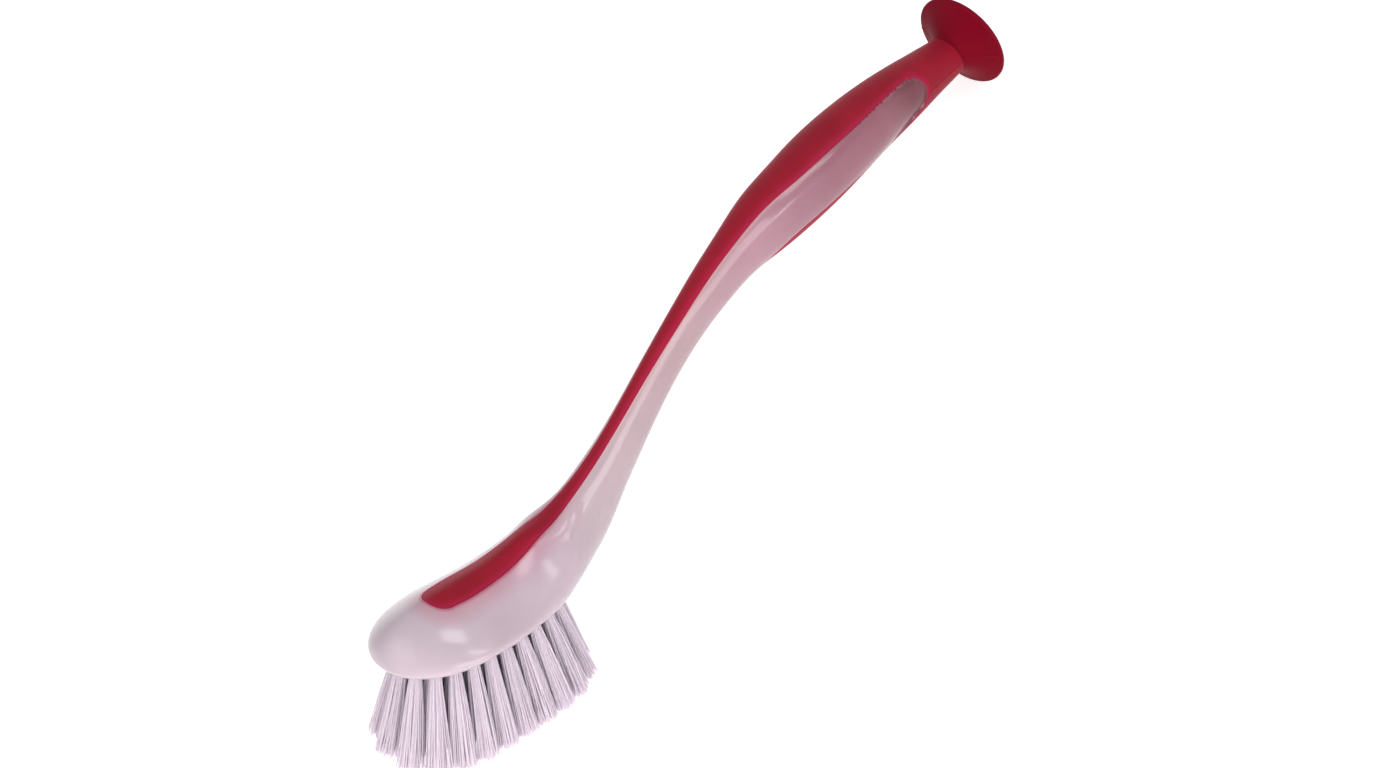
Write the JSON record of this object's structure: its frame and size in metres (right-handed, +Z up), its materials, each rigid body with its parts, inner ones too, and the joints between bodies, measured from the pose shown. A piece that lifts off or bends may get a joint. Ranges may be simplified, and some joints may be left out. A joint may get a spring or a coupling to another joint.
{
  "type": "dish brush",
  "caption": "Dish brush with a translucent plastic head and bent handle, a soft red over-moulded grip, fanned filament tufts and a suction cup on the handle's end.",
  "frame": {"origin": "middle of the bottom of the bounding box, on the surface the brush lies on", "axes": "+X from the head towards the suction cup, +Z up from the surface, XZ the plane of symmetry; the brush rests on its rear bristle tips and the lip of the cup"},
  "size_m": [0.2994, 0.0452, 0.0766],
  "materials": {
    "clear_plastic": "smooth, translucent milky white polypropylene with a pink cast from the red around it",
    "red_elastomer": "satin dark red thermoplastic elastomer",
    "bristle": "fine white synthetic filaments, packed in tufts and trimmed flat",
    "anchor_metal": "bare cut metal strip"
  },
  "bodies": {
    "brush": {"body": "clear_plastic", "soft_grip": "red_elastomer", "tuft_anchors": "anchor_metal", "tuft_01": "bristle", "tuft_02": "bristle", "tuft_03": "bristle", "tuft_04": "bristle", "tuft_05": "bristle", "tuft_06": "bristle", "tuft_07": "bristle", "tuft_08": "bristle", "tuft_09": "bristle", "tuft_10": "bristle", "tuft_11": "bristle", "tuft_12": "bristle", "tuft_13": "bristle", "tuft_14": "bristle", "tuft_15": "bristle", "tuft_16": "bristle", "tuft_17": "bristle", "tuft_18": "bristle", "tuft_19": "bristle", "tuft_20": "bristle", "tuft_21": "bristle", "tuft_22": "bristle", "tuft_23": "bristle", "tuft_24": "bristle", "tuft_25": "bristle", "tuft_26": "bristle", "tuft_27": "bristle", "tuft_28": "bristle", "tuft_29": "bristle", "tuft_30": "bristle", "tuft_31": "bristle", "tuft_32": "bristle", "tuft_33": "bristle", "tuft_34": "bristle", "tuft_35": "bristle", "tuft_36": "bristle", "tuft_37": "bristle", "tuft_38": "bristle", "tuft_39": "bristle", "tuft_40": "bristle", "tuft_41": "bristle", "tuft_42": "bristle", "tuft_43": "bristle", "tuft_44": "bristle"},
    "cup": {"suction_cup": "red_elastomer"}
  },
  "joints": [
    {"name": "cup_rock", "type": "hinge", "parent": "brush", "child": "cup", "pos_m": [0.13792, 0, 0.01796], "axis": [0, 1, 0], "range_deg": [-10, 10], "stiffness_Nm_per_rad": 0.6}
  ]
}
